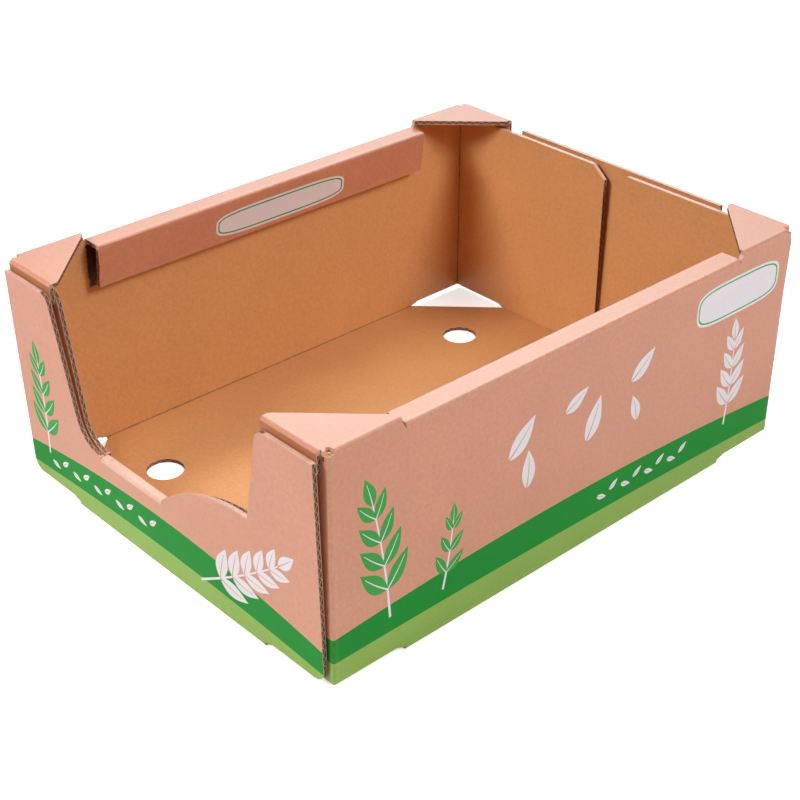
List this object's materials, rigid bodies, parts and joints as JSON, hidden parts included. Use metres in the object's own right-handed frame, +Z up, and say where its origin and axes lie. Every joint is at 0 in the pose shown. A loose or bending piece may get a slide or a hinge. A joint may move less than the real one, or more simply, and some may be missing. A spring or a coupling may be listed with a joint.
{
  "type": "cardboard tray box",
  "caption": "Open stacking tray of folded corrugated board with a low wave-cut front, rolled rims, corner caps and vented floor.",
  "frame": {"origin": "middle of the floor's underside", "axes": "+X to the right across the tray as seen from its low front, +Y from the low front to the back, +Z up"},
  "size_m": [0.3, 0.4, 0.155],
  "materials": {
    "board": "matt"
  },
  "bodies": {
    "root": {"tray": "board"}
  },
  "joints": []
}
